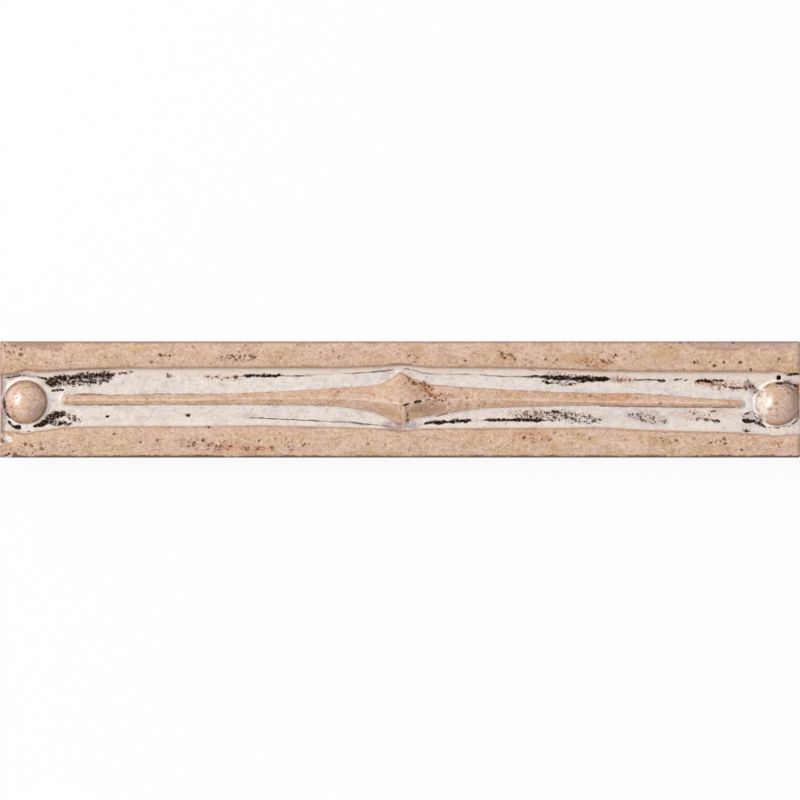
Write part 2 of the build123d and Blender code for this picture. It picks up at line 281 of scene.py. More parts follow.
BROWN_SPECKS = (
    # Upper rail
    (-76.0, 9.5, -73.5, 6.6, 2.0, 0.5), (-47.6, 7.3, -47.2, 7.2, 0.5, 0.9),
    (-45.9, 8.4, -43.6, 8.1, 0.6, 0.85), (-34.5, 8.0, -27.5, 8.0, 0.8, 0.95),
    (1.0, 9.2, 3.2, 7.2, 1.3, 0.5), (12.2, 7.3, 13.0, 7.2, 0.7, 0.9), (18.7, 8.8, 21.7, 7.8, 1.1, 0.95),
    (27.6, 7.8, 28.8, 7.4, 0.7, 0.8), (34.0, 7.2, 41.0, 6.8, 1.0, 0.95),
    (39.2, 8.0, 41.4, 8.5, 0.6, 0.85), (55.6, 7.2, 56.6, 7.0, 0.6, 0.8),
    (58.6, 7.1, 60.2, 6.6, 0.9, 0.8), (64.6, 7.0, 65.0, 7.0, 0.5, 0.9),
    (71.8, 7.7, 72.2, 7.7, 0.5, 0.8), (-76.0, 8.2, -60.0, 7.6, 2.2, 0.15),
    # Lower rail
    (-54.6, -6.6, -54.2, -6.6, 0.5, 0.95), (-46.4, -7.6, -46.0, -7.6, 0.5, 0.8),
    (-41.0, -8.0, -35.4, -8.9, 1.2, 0.85), (-38.0, -7.9, -36.2, -8.6, 0.7, 0.95),
    (-35.8, -9.1, -24.4, -9.4, 1.0, 0.8), (-22.0, -8.4, -18.0, -8.6, 1.2, 0.4),
    (22.8, -7.2, 28.6, -7.3, 0.9, 0.8), (48.6, -7.4, 52.4, -7.8, 0.9, 0.85),
    (55.4, -7.2, 57.2, -7.8, 0.8, 0.75), (59.8, -7.2, 62.6, -9.6, 1.2, 0.6),
    (70.4, -8.0, 72.4, -8.6, 0.9, 0.7), (-76.0, -9.4, -60.0, -9.0, 1.6, 0.3),
    # Channel and spindle
    (-44.6, 4.6, -42.6, 4.2, 0.5, 0.95), (-37.1, 4.3, -30.3, 4.0, 0.5, 0.98),
    (40.0, 3.9, 45.0, 3.7, 0.5, 0.95), (1.4, 3.6, 6.4, 0.9, 1.1, 0.6), (6.4, 0.7, 10.0, 0.6, 0.7, 0.5),
    (12.0, -1.3, 13.6, -1.5, 0.5, 0.6), (35.6, 0.7, 37.6, 0.4, 0.5, 0.7),
    (53.0, -2.7, 60.0, -3.3, 0.9, 0.5), (57.0, 3.2, 66.0, 2.4, 0.9, 0.5),
    (20.5, -2.5, 28.0, -2.7, 0.7, 0.6), (69.0, -0.6, 75.4, 2.4, 1.4, 0.12),
    (-75.0, -1.0, -73.4, -3.4, 0.9, 0.8),
)
RUST = (
    (1.0, 4.7, 2.2, 3.7, 0.4, 1.0), (2.0, 3.6, 4.0, 2.9, 0.7, 1.0), (4.0, 2.8, 6.2, 2.2, 0.7, 1.0),
    (4.6, 2.2, 6.2, 1.0, 0.9, 0.9), (6.0, 0.7, 10.0, 0.6, 0.5, 0.7), (19.0, 1.3, 21.0, 0.9, 0.7, 0.6),
    (32.0, 0.7, 45.0, 0.2, 0.9, 0.55), (21.9, -6.7, 28.6, -7.1, 1.1, 0.65),
    (18.9, 8.3, 21.5, 7.8, 0.9, 0.55), (34.0, 7.2, 40.0, 6.8, 1.0, 0.6),
    (40.0, 3.9, 45.0, 3.7, 0.6, 0.8), (-37.1, 4.3, -30.3, 4.0, 0.4, 0.5),
    (-35.8, -9.2, -24.4, -9.4, 0.9, 0.6), (-61.0, 0.9, -58.0, 0.95, 0.3, 0.8),
    (70.4, -8.0, 72.4, -8.6, 0.8, 0.6), (75.9, 2.8, 76.1, -3.2, 0.9, 0.95),
    (62.0, -0.6, 65.4, -1.0, 0.4, 0.4), (52.0, -2.7, 58.5, -3.4, 1.0, 0.42),
    (59.0, -2.5, 65.5, -3.0, 0.8, 0.36), (56.4, 3.3, 66.0, 2.4, 0.8, 0.75),
    (20.5, -2.5, 28.0, -2.7, 0.7, 0.42),
)
DARK_DOTS = (
    # Upper rail: place along, place across, radius
    (-47.3, 7.2, 0.26), (-45.7, 8.45, 0.32), (-43.8, 8.3, 0.24), (-34.0, 8.2, 0.22), (-32.8, 8.4, 0.22),
    (-31.8, 8.1, 0.26), (-30.6, 8.0, 0.24), (-29.6, 8.3, 0.22), (-28.4, 8.1, 0.26), (-27.7, 8.0, 0.28),
    (12.4, 7.35, 0.28), (19.2, 8.8, 0.22), (19.9, 7.9, 0.28), (21.4, 8.1, 0.22), (27.7, 7.7, 0.26),
    (29.7, 7.6, 0.22), (41.1, 8.45, 0.3), (38.6, 7.4, 0.22), (56.0, 7.0, 0.24), (59.0, 7.1, 0.24),
    (59.8, 6.4, 0.3), (61.7, 7.0, 0.26), (64.8, 7.1, 0.28), (72.1, 7.7, 0.22), (66.8, 5.7, 0.26),
    (53.4, 10.9, 0.3), (55.0, 10.9, 0.28), (63.4, 10.9, 0.32), (-73.6, 9.0, 0.18), (-75.0, 8.0, 0.18),
    (-72.2, 9.6, 0.2),
    # Lower rail
    (-54.5, -6.55, 0.28), (-49.4, -8.2, 0.24), (-46.1, -7.75, 0.24), (-39.3, -8.2, 0.32),
    (-37.6, -7.85, 0.34), (-36.6, -8.8, 0.28), (-40.2, -8.9, 0.24), (-35.9, -8.4, 0.24),
    (-34.2, -9.0, 0.22), (-32.2, -8.9, 0.22), (-29.0, -9.2, 0.24), (-26.9, -7.75, 0.24),
    (-24.4, -9.2, 0.22), (23.5, -7.25, 0.32), (28.3, -7.85, 0.24), (49.7, -7.3, 0.24),
    (52.6, -7.95, 0.26), (56.5, -10.8, 0.3), (59.0, -8.2, 0.22), (62.0, -8.45, 0.26),
    (65.0, -9.6, 0.24),
    # Knop and channel
    (2.6, 3.4, 0.22), (3.1, 3.15, 0.16), (3.9, 3.0, 0.2), (5.5, 2.55, 0.2), (6.0, 1.9, 0.17),
    (4.8, 1.6, 0.16), (-44.2, 4.5, 0.3), (-36.6, 4.4, 0.26), (-35.0, 4.3, 0.26), (-33.0, 4.2, 0.26),
    (-31.4, 4.2, 0.28), (-36.4, -5.3, 0.28), (49.8, 3.55, 0.3), (67.2, 2.3, 0.26), (67.6, 1.4, 0.24),
)
ROD_EDGE_DASHES = (
    (-62.0, 0.95, -56.5, 1.0, 0.16, 0.62), (-50.0, 1.05, -36.0, 1.15, 0.14, 0.56),
    (-62.0, -1.0, -48.0, -1.1, 0.14, 0.56), (38.0, -1.2, 43.5, -1.4, 0.18, 0.75),
    (43.0, -1.4, 64.0, -1.5, 0.15, 0.64), (46.0, 1.2, 58.4, 0.2, 0.1, 0.45),
    (6.9, -3.2, 9.2, -2.65, 0.16, 0.8),
)
BROWN_WASH_AND_SHADE = (
    # The first two strokes paint shade on the knop's two lower facets; the rest are brown stains.
    (2.6, -1.9, 8.0, -1.7, 1.3, 0.75), (-6.0, -1.4, -1.2, -2.6, 1.3, 0.24),
    (2.0, 2.0, 5.0, 1.4, 1.5, 0.3), (-71.0, -3.6, -68.4, -1.4, 0.9, 0.5),
    (-74.3, 10.7, -64.0, 10.8, 0.8, 0.8), (-69.4, 10.2, -64.6, 9.4, 0.4, 0.7),
    (56.6, 9.8, 64.8, 9.5, 0.26, 0.75), (68.6, 9.4, 70.2, 9.4, 0.24, 0.75),
    (-1.8, 6.75, 2.3, 6.7, 0.16, 0.8), (75.2, 2.4, 75.6, -3.4, 0.8, 0.9),
    (24.2, 6.0, 25.6, 5.5, 0.25, 0.7), (14.0, -5.8, 17.0, -5.75, 0.2, 0.7),
    (-19.2, -5.3, -16.0, -5.45, 0.2, 0.6), (-37.2, -5.2, -36.4, -5.2, 0.25, 0.8),
)
YELLOW_WASH = (
    (30.8, 8.2, 36.0, 7.4, 1.2, 0.7), (-74.4, -1.6, -73.0, -3.4, 0.9, 0.8),
    (-3.0, -10.3, 0.0, -10.3, 0.4, 0.7), (47.5, -7.6, 51.5, -8.0, 1.1, 0.6),
    (-3.6, -2.0, -0.2, -3.0, 1.1, 0.75), (44.0, 9.0, 52.0, 8.0, 1.6, 0.25),
    (-30.0, 1.0, -27.6, 0.9, 0.5, 0.6),
)
PALE_FLECKS = (
    (-76.0, 8.8, -74.8, 8.0, 0.9, 0.9), (-66.4, 8.6, -65.8, 8.6, 0.5, 0.9),
    (11.8, -7.2, 12.4, -7.2, 0.4, 1.0), (17.4, -7.2, 18.0, -7.2, 0.4, 0.9),
    (34.8, 10.0, 35.6, 10.0, 0.4, 0.9), (-74.0, 9.0, -56.0, 7.4, 2.4, 0.35),
    (-70.0, -7.6, -60.0, -8.6, 1.6, 0.35), (-21.0, -7.4, -18.0, -8.8, 1.0, 0.5),
    (50.0, -7.2, 66.0, -9.0, 1.8, 0.4),
)
PURPLE_BLOOM_AND_SHADE = (
    (-76.0, 3.9, -76.0, -5.8, 1.2, 1.0), (-75.6, 4.0, -72.4, 4.7, 0.5, 1.0),
    (-72.4, 4.7, -69.2, 4.4, 0.35, 0.8), (53.0, 11.0, 76.2, 10.7, 1.0, 0.6),
    (66.2, 3.0, 68.2, 1.0, 1.2, 1.0), (-3.2, -4.9, 0.9, -5.4, 0.8, 1.0),
    # The first stroke on this line is painted shade on the slip at the foot of the knop's upper-left
    # flank.
    (-3.2, 4.1, -1.0, 4.9, 0.8, 0.5), (1.4, -5.2, 4.0, -4.8, 0.6, 0.9),
    (43.5, -3.0, 50.5, -4.2, 1.5, 0.45), (72.9, 3.4, 76.2, 2.8, 0.6, 0.9),
    (66.0, -3.0, 69.0, -4.4, 1.0, 0.4), (67.7, 2.2, 67.5, -2.8, 0.5, 0.5),
    (-68.0, 3.0, -65.0, 2.8, 0.8, 0.5),
)
CHIPS = (
    (-76.3, -7.6, -76.1, -8.4, 0.6, 0.8), (-75.6, -10.9, -74.2, -10.7, 0.5, 0.8),
    (-75.2, -7.4, -74.2, -7.6, 0.6, 0.4),
)
CHIP_DEPTH = 0.35
RIB = ((0.8, -1.4, 0.85, -4.7, 0.42, 1.0),)  # narrow rib down the lower arm of the knop
RIB_HEIGHT = 0.3
WIPED_AND_HIGHLIT = (
    # The first stroke whitens the right bead's left flank: worn to the slip, and a painted highlight
    # there.
    (69.0, 2.4, 69.0, -4.2, 1.4, 0.6), (-75.2, -7.3, -74.2, -7.3, 0.7, 0.85),
    (-74.7, -8.0, -74.1, -7.6, 0.5, 0.7), (-64.4, 1.2, -64.4, -1.0, 0.4, 0.5),
    (65.8, 0.4, 65.8, -2.6, 1.0, 0.85),
)
WANDER = 0.22  # most that a stroke strays from its straight line
WANDER_SHARE = 0.6  # a narrow stroke strays by no more than this share of its half width
WANDER_PER_MM = 0.8
TIP_SHARE = 0.5  # width of a stroke at its two ends, as a share of its width
TAPER = 4  # half widths along it in which a stroke would gain its whole width
FADE_OUT = 1.5  # half widths from its middle line at which a stroke has faded out

stray = np.array([noise.noise_vector(Vector(point) * WANDER_PER_MM)[:2] for point in skin.reshape(-1, 3)])
stray = stray.reshape(skin.shape[:2] + (2,))


def over_face(values, elsewhere=0.0):
    """Values of the face alone, with one value on the sides and the back."""
    spread = np.full(skin.shape[:2], elsewhere)
    spread[:, :FACE_ROWS] = values
    return spread


facing_up = over_face(1.0)


def strokes(marks):
    """Strength of a set of strokes at every point of the face, thin at the ends and soft at the sides."""
    strength = np.zeros(skin.shape[:2])
    for x0, y0, x1, y1, half_width, most in marks:
        points = skin[..., :2] + min(WANDER, half_width * WANDER_SHARE) * stray
        start, run = np.array((x0, y0)), np.array((x1 - x0, y1 - y0))
        share = np.clip((points - start) @ run / (run @ run), 0, 1)
        apart = np.linalg.norm(points - start - share[..., None] * run, axis=-1)
        from_end = np.minimum(share, 1 - share) * np.linalg.norm(run)
        width = half_width * np.clip(TIP_SHARE + from_end / (TAPER * half_width), TIP_SHARE, 1)
        strength = np.maximum(strength, most * np.clip(FADE_OUT - apart / width, 0, 1))
    return strength * facing_up


from_side = HALF_WIDTH - np.abs(skin[..., 1])
from_left = HALF_LENGTH + skin[..., 0]
from_right = HALF_LENGTH - skin[..., 0]

# One deep hole, chips that took the glaze off, and a rib.
HOLE_ALONG = 72.2
HOLE_ACROSS = 4.15
HOLE_RADIUS = 0.53
HOLE_DEPTH = 0.9
HOLE_STEEPNESS = 1.6
chip = strokes(CHIPS)
from_hole = np.hypot(skin[..., 0] - HOLE_ALONG, skin[..., 1] - HOLE_ACROSS) / HOLE_RADIUS
hole = np.clip(HOLE_STEEPNESS * (1 - from_hole), 0, 1) * facing_up
skin[..., 2] += RIB_HEIGHT * strokes(RIB) - CHIP_DEPTH * chip - HOLE_DEPTH * hole

# Thin lines of oxide lie along the two valleys, darker in some stretches than in others.
UPPER_VALLEY_DARK = (
    (-34, 0), (-30, 0.5), (-21, 0.7), (-14, 0.4), (-9, 0.55), (-6, 0.85), (-3, 0.95), (-1.5, 0.6),
    (0, 0.2), (1.2, 0.9), (4, 0.85), (8, 0.55), (16, 0.5), (19, 0.75), (28, 0.7), (38, 0.3), (44, 0.4),
    (46, 0.85), (49.5, 0.85), (51, 0),
)
LOWER_VALLEY_DARK = (
    (-34, 0), (-29, 0.3), (-26, 0.85), (-18, 0.85), (-13, 0.65), (-4, 0.8), (-1.5, 0.5), (0, 0), (4, 0),
    (5, 0.5), (14, 0.6), (28, 0.7), (32, 0.2), (36, 0),
)
upper_dark = np.interp(along, *zip(*UPPER_VALLEY_DARK))
lower_dark = np.interp(along, *zip(*LOWER_VALLEY_DARK))
warped_along, warped_across = (skin[:, :FACE_ROWS, axis] for axis in (0, 1))
above_valley = warped_across - np.interp(warped_along, *zip(*UPPER_VALLEY))
below_valley = np.interp(warped_along, *zip(*LOWER_VALLEY)) - warped_across

# The white slip stands in a ring about the foot of each bead.
BEAD_CENTRES = ((-71.4, -0.5), (71.9, -0.85))
from_beads = [np.hypot(skin[..., 0] - x, skin[..., 1] - y) - BEAD_RADIUS for x, y in BEAD_CENTRES]
off_bead = np.minimum(*from_beads)
rise = over_face(relief, -FLOOR)

EDGE_BAND = 0.9  # width of the darker band along the outer edges, worn and in painted shade
SIDE_BAND_SHARE = 0.25  # how much of it goes on down the upright sides
LEFT_END_BAND = 1.1  # width of the brown band at the left end, painted shade that dulls the lit end bevel
RIGHT_END_BAND = 0.3  # and at the right end, painted shade on the end roll
LEDGE_FADE = 0.3
LOWER_LEDGE_WARMTH = 0.4  # as a share of the upper ledge's
RIDGE_HIGHLIGHT_HALF_WIDTH = 0.16
RIDGE_HIGHLIGHT_SHORTFALL = 1.5  # how far the painted highlight along the spindle's crest stops short of the spindle's ends
DOT_LENGTH = 0.1  # a single dot is a very short stroke
DOT_HALF_WIDTH = 2  # in radii
RUN_LEVEL = 2.0  # height above the channel's floor from which the runs down the sides are measured
LIP_SHADE_BAND = (0.8, 0.95, 1.15, 1.5)  # heights above the floor between which the steep face is painted brown: a glaze break, and painted shade on that face
LIP_FOOT = 0.5  # width of that face, inwards from the lip
SLIP_CLIMB = 0.4  # and how much higher the white slip climbs it than it climbs the spindle
outward = over_face(np.abs(across))
on_lip = outward > LIP - LIP_FOOT
on_spindle = np.abs(skin[..., 0]) < SPINDLE_END - RIDGE_HIGHLIGHT_SHORTFALL
off_ends = np.minimum(from_left, from_right) > EDGE_BAND
edge_wear_and_shade = np.clip(1 - from_side / EDGE_BAND, 0, 1) * over_face(1.0, SIDE_BAND_SHARE)
on_ledge = np.clip((outward - VALLEY) / LEDGE_FADE, 0, 1) * (outward < LIP + LEDGE_FADE)
short_strokes = [(x, y, x + DOT_LENGTH, y, DOT_HALF_WIDTH * r, 1.0) for x, y, r in DARK_DOTS]
marks = {
    "rise": rise - SLIP_CLIMB * on_lip,
    "valley": over_face(np.where(across > 0, above_valley, below_valley), LIP),
    "valley_dark": over_face(np.where(across > 0, upper_dark, lower_dark)),
    "off_bead": off_bead,
    "lip_break_and_shade": np.interp(rise, LIP_SHADE_BAND, (0, 1, 1, 0)) * on_lip * off_ends,
    "ledge": on_ledge * np.where(skin[..., 1] > 0, 1, LOWER_LEDGE_WARMTH),
    # A pale line along the spindle's crest: a painted highlight of the ridge.
    "painted_ridge_highlight": np.clip(FADE_OUT - outward / RIDGE_HIGHLIGHT_HALF_WIDTH, 0, 1) * on_spindle * facing_up,
    "dots": strokes(short_strokes),
    "dashes": strokes(ROD_EDGE_DASHES),
    "glazed": facing_up * np.clip(np.minimum.reduce([from_side, from_left, from_right]) / EDGE_BAND, 0, 1),
    "wiped_and_highlit": strokes(WIPED_AND_HIGHLIT),
    "painted_rib_highlight": strokes(RIB),
    "oxide_and_shadow": strokes(BLACK_OXIDE_AND_SHADOW),
    "specks": strokes(BROWN_SPECKS),
    "flecks": strokes(PALE_FLECKS),
    "rust": strokes(RUST),
    "brown_and_shade": strokes(BROWN_WASH_AND_SHADE),
    "yellow": strokes(YELLOW_WASH),
    "bloom_and_shade": strokes(PURPLE_BLOOM_AND_SHADE),
    "chip": chip,
    "hole": hole,
    "upper_edge_wear_and_shade": edge_wear_and_shade * (skin[..., 1] > 0),
    "lower_edge_wear_and_shade": edge_wear_and_shade * (skin[..., 1] < 0),
    "ends": np.clip(np.maximum(1 - from_left / LEFT_END_BAND, 1 - from_right / RIGHT_END_BAND), 0, 1),
    "drop": np.clip(FLOOR + RUN_LEVEL - skin[..., 2], 0, None) * (1 - facing_up),
}

here = np.arange(RING)
corner = np.arange(STATION_COUNT - 1)[:, None] * RING + here
beside = np.arange(STATION_COUNT - 1)[:, None] * RING + np.roll(here, -1)
quads = np.stack([corner, corner + RING, beside + RING, beside], axis=-1).reshape(-1, 4)
side_end = FACE_ROWS + SIDE_ROWS
back_end = side_end + BACK_ROWS
end_face = np.concatenate([here[:side_end], here[back_end:]])
end_bevel = here[side_end - 1:back_end + 1]
last = (STATION_COUNT - 1) * RING
caps = [end_face, end_bevel, last + end_face[::-1], last + end_bevel[::-1]]
body_mesh = bpy.data.meshes.new("border_tile_skin")
body_mesh.from_pydata((skin.reshape(-1, 3) * MM).tolist(), [], quads.tolist() + [c.tolist() for c in caps])
body_mesh.polygons.foreach_set("use_smooth", [True] * len(quads) + [False] * len(caps))
for name, values in marks.items():
    layer = body_mesh.attributes.new(name, "FLOAT", "POINT")
    layer.data.foreach_set("value", values.ravel())
tile = bpy.data.objects.new("border_tile_glazed", body_mesh)
bpy.context.scene.collection.objects.link(tile)

# Antique glaze
# A satin beige glaze over a white slip: beige on all that stands proud, white where it was wiped out
# of the channel. The sides and the back are bare fired clay with runs of glaze over the edge.


def linear(red, green, blue):
    """A colour given as a screen shows it, from 0 to 255, for a shader."""
    shares = [value / 255 for value in (red, green, blue)]
    return [s / 12.92 if s < 0.04045 else ((s + 0.055) / 1.055) ** 2.4 for s in shares] + [1]


BEIGE = linear(215, 179, 151)
BEIGE_PINK = linear(218, 181, 164)
BEIGE_YELLOW = linear(207, 168, 128)
BEIGE_PALE = linear(236, 209, 185)
BEIGE_DEEP = linear(181, 139, 107)
# Pale pink of the knop's rib, a painted highlight on its lit side.
RIB_HIGHLIGHT_PINK = linear(232, 192, 172)
# Brown of a glaze break; it also paints shade on the lips, the ends, the beads' rims and the knop's lower
# facets.
BREAK_AND_SHADE_BROWN = linear(158, 116, 92)
STREAK_YELLOW = linear(196, 156, 108)
SLIP = linear(233, 222, 212)
SLIP_WARM = linear(238, 218, 203)
SLIP_COOL = linear(222, 213, 212)
SLIP_PALE = linear(238, 230, 222)
SLIP_GREY = linear(204, 190, 182)
SLIP_THICK = linear(250, 243, 236)
OXIDE_AND_SHADOW_BLACK = linear(26, 9, 2)
OXIDE_AND_SHADOW_GREY = linear(86, 62, 52)
OXIDE_AND_SHADOW_THIN = linear(130, 104, 94)
SPECK = linear(128, 82, 56)
SPECK_DARK = linear(84, 46, 24)
RUST_ORANGE = linear(200, 132, 86)
RUST_DARK = linear(132, 72, 34)
BLOOM_AND_SHADE = linear(158, 136, 142)
WORN_AND_SHADED_UPPER = linear(150, 130, 116)
WORN_AND_SHADED_LOWER = linear(92, 66, 60)
BARE_CLAY = linear(212, 185, 160)
BARE_CLAY_DARK = linear(190, 158, 131)

glaze = bpy.data.materials.new("beige_over_white")
glaze.use_nodes = True
glaze.node_tree.nodes.clear()


def place(tree, kind, inputs=None, **options):
    """Adds a node, sets its options, and fills or links its inputs by name or number."""
    node = tree.nodes.new(kind)
    for name, value in options.items():
        setattr(node, name, value)
    for name, value in (inputs or {}).items():
        if isinstance(value, bpy.types.NodeSocket):
            tree.links.new(value, node.inputs[name])
        else:
            node.inputs[name].default_value = value
    return node


def shade(kind, inputs=None, **options):
    """A node of the glaze."""
    return place(glaze.node_tree, kind, inputs, **options)


def math(operation, *terms):
    """A sum on numbers or sockets."""
    return shade("ShaderNodeMath", dict(enumerate(terms)), operation=operation).outputs[0]


def ramp(value, start, end, low=0.0, high=1.0):
    """Rises smoothly from low to high while the value goes from start to end."""
    limits = {"Value": value, "From Min": start, "From Max": end, "To Min": low, "To Max": high}
    return shade("ShaderNodeMapRange", limits, interpolation_type="SMOOTHSTEP").outputs["Result"]


def blend(share, under, over):
    """One colour laid over another."""
    inputs = {"Factor": share, 6: under, 7: over}
    return shade("ShaderNodeMix", inputs, data_type="RGBA").outputs[2]


def mark(name):
    """An attribute of the skin."""
    return shade("ShaderNodeAttribute", attribute_name=name).outputs["Fac"]


place_in_mm = shade(
    "ShaderNodeMapping",
    {"Vector": shade("ShaderNodeTexCoord").outputs["Object"], "Scale": [1 / MM] * 3},
).outputs["Vector"]


def cloud(per_mm, detail=3.0, rough=0.55, shift=0.0, stretch=(1, 1, 1)):
    """Even noise about a half, with so many features to a millimetre."""
    moved = shade("ShaderNodeMapping", {"Vector": place_in_mm, "Location": [shift] * 3, "Scale": stretch})
    inputs = {"Vector": moved.outputs["Vector"], "Scale": per_mm, "Detail": detail, "Roughness": rough}
    return shade("ShaderNodeTexNoise", inputs).outputs["Fac"]


def swing(reach, per_mm, **options):
    """Noise that swings as far above nought as below it."""
    return math("MULTIPLY_ADD", cloud(per_mm, **options), 2 * reach, -reach)


RAGGED_PER_MM = 2.2
RAGGEDNESS = 0.7  # most that the outline of a dot is pulled about
stirring = shade("ShaderNodeTexNoise", {"Vector": place_in_mm, "Scale": RAGGED_PER_MM, "Detail": 2.0})
unrest = shade(
    "ShaderNodeVectorMath", {0: stirring.outputs["Color"], "Scale": RAGGEDNESS}, operation="SCALE",
).outputs[0]


def dots(per_mm, radius, share, shift=0.0):
    """Ragged dots of uneven size in a share of the cells of a scatter."""
    ragged = shade("ShaderNodeVectorMath", {0: place_in_mm, 1: unrest}, operation="ADD").outputs[0]
    moved = shade("ShaderNodeMapping", {"Vector": ragged, "Location": [shift] * 3})
    cell = shade("ShaderNodeTexVoronoi", {"Vector": moved.outputs["Vector"], "Scale": per_mm})
    draw = shade("ShaderNodeSeparateColor", {"Color": cell.outputs["Color"]})
    size = math("MULTIPLY_ADD", draw.outputs["Green"], radius, radius / 2)
    chosen = ramp(math("SUBTRACT", share, draw.outputs["Red"]), 0.0, 0.05)
    inside = math("SUBTRACT", size, cell.outputs["Distance"])
    return math("MULTIPLY", ramp(inside, -radius / 4, radius / 4), chosen)


def patchy(amount, texture, start, end, least, most):
    """A mark that comes and goes with a noise."""
    return math("MULTIPLY", amount, ramp(texture, start, end, least, most))


# Beige, from large patches down to the finest grain.
grain = cloud(1.5, detail=4.0, rough=0.6, stretch=(0.75, 1, 1))
fine_grain = cloud(3.2, detail=2.0, rough=0.6, shift=131.0)
mottle = cloud(0.6, shift=61.0, stretch=(0.7, 1, 1))
beige = blend(ramp(cloud(0.16, detail=2.0, shift=11.0, stretch=(0.6, 1, 1)), 0.4, 0.62), BEIGE_PINK, BEIGE)
beige = blend(ramp(cloud(0.22, shift=29.0, stretch=(0.7, 1, 1)), 0.5, 0.7), beige, BEIGE_YELLOW)
for texture, depth in ((mottle, 0.4), (grain, 0.6), (fine_grain, 0.5)):
    beige = blend(ramp(texture, 0.5, 0.68, 0.0, depth), beige, BEIGE_PALE)
    beige = blend(ramp(texture, 0.5, 0.32, 0.0, depth), beige, BEIGE_DEEP)
# Paler along the spindle's crest: a painted highlight on the ridge.
beige = blend(patchy(mark("painted_ridge_highlight"), grain, 0.3, 0.6, 0.3, 0.8), beige, BEIGE_PALE)
beige = blend(patchy(mark("yellow"), grain, 0.3, 0.6, 0.4, 0.9), beige, STREAK_YELLOW)

# White slip, warm on the ledges and thick about the beads.
slip = blend(ramp(cloud(0.35, shift=47.0), 0.45, 0.65), SLIP, SLIP_COOL)
for texture, depth in ((mottle, 0.8), (grain, 0.7), (fine_grain, 0.5)):
    slip = blend(ramp(texture, 0.5, 0.7, 0.0, depth), slip, SLIP_PALE)
    slip = blend(ramp(texture, 0.5, 0.3, 0.0, depth), slip, SLIP_GREY)
slip = blend(patchy(mark("ledge"), cloud(0.5, shift=67.0), 0.3, 0.6, 0.3, 0.8), slip, SLIP_WARM)
SLIP_RING = 0.2  # distance of the thick white ring from the foot of a bead
SLIP_RING_EDGE = (0.36, 0.14)
off_bead = mark("off_bead")
wavy_bead = math("ADD", off_bead, swing(0.12, 0.7, shift=73.0))
ring_place = math("ABSOLUTE", math("SUBTRACT", wavy_bead, SLIP_RING))
slip = blend(ramp(ring_place, *SLIP_RING_EDGE), slip, SLIP_THICK)

# The glaze breaks brown along the edges of all that stands proud. Along the lips and round the beads the
# same brown also paints shade.
WHITE_TO_BEIGE = (0.36, 0.44)  # heights above the floor between which the slip gives way to beige
BREAK_FROM = (0.34, 0.4)  # heights over which the brown line comes in
BREAK_TO = (0.42, 0.56)  # and goes out again
RIM_INSET = 0.28  # distance of the brown rim of a bead inside its foot, a glaze break that also paints the shade on the bead's right side
RIM_EDGE = (0.34, 0.08)
rise_above = math("ADD", mark("rise"), swing(0.06, 1.1, shift=3.0))
proud = ramp(rise_above, *WHITE_TO_BEIGE)
break_line = patchy(ramp(rise_above, *BREAK_FROM), rise_above, *BREAK_TO, 1.0, 0.0)
ground = blend(proud, slip, beige)
ground = blend(patchy(break_line, cloud(0.9, shift=7.0), 0.35, 0.65, 0.1, 0.7), ground, BREAK_AND_SHADE_BROWN)
# Brown on the steep faces of the lips: a glaze break, and painted shade on those faces.
ground = blend(patchy(mark("lip_break_and_shade"), cloud(0.7, shift=9.0), 0.35, 0.65, 0.0, 0.4), ground, BREAK_AND_SHADE_BROWN)
# A brown rim all round inside each bead's foot: a glaze break, and painted shade for the bead's right
# side.
rim_place = math("ABSOLUTE", math("ADD", wavy_bead, RIM_INSET))
bead_rim_break_and_shade = math("MULTIPLY", ramp(rim_place, *RIM_EDGE), proud)
ground = blend(patchy(bead_rim_break_and_shade, cloud(1.1, shift=97.0), 0.36, 0.58, 0.3, 1.0), ground, BREAK_AND_SHADE_BROWN)

# Stains and specks, with painted shade and highlights among them
# Purple bloom, and in one place painted shade of the same grey-lilac.
bloomed_and_shaded = patchy(mark("bloom_and_shade"), cloud(0.9, shift=71.0), 0.3, 0.6, 0.45, 1.0)
ground = blend(math("MULTIPLY", bloomed_and_shaded, 0.85), ground, BLOOM_AND_SHADE)
# Brown stains, and painted shade on the knop's lower facets.
ground = blend(patchy(mark("brown_and_shade"), grain, 0.3, 0.6, 0.4, 0.9), ground, BREAK_AND_SHADE_BROWN)
rusted = math("MULTIPLY", mark("rust"), ramp(cloud(1.6, detail=4.0, rough=0.65, shift=5.0), 0.38, 0.56))
ground = blend(math("MULTIPLY", rusted, 0.75), ground, RUST_ORANGE)
rust_core = math("ADD", rusted, swing(0.8, 2.0, shift=15.0))
ground = blend(ramp(rust_core, 0.55, 0.9, 0.0, 0.85), ground, RUST_DARK)
few_specks = math("MULTIPLY", dots(0.9, 0.2, 0.3, 17.0), 0.6)
ground = blend(math("MULTIPLY", few_specks, ramp(proud, 0.0, 1.0, 0.3, 1.0)), ground, SPECK)
# Three sizes of speck: how many to a millimetre, radius in cells, depth of colour, place in the noise.
SPECK_SIZES = ((1.0, 0.3, 0.85, 91.0), (1.5, 0.3, 0.75, 41.0), (2.3, 0.28, 0.65, 33.0))
speck_share = math("MULTIPLY", mark("specks"), 0.85)
for per_mm, radius, depth, shift in SPECK_SIZES:
    ground = blend(math("MULTIPLY", dots(per_mm, radius, speck_share, shift), depth), ground, SPECK)
fleck_share = math("MULTIPLY_ADD", mark("flecks"), 0.5, 0.2)
ground = blend(math("MULTIPLY", dots(1.3, 0.26, fleck_share, 53.0), 0.6), ground, BEIGE_PALE)
ground = blend(ramp(mark("dots"), 0.25, 0.75, 0.0, 0.9), ground, SPECK_DARK)
dash_amount = math("ADD", mark("dashes"), swing(0.5, 0.8, shift=23.0))
ground = blend(ramp(dash_amount, 0.3, 0.6, 0.0, 0.7), ground, SPECK)
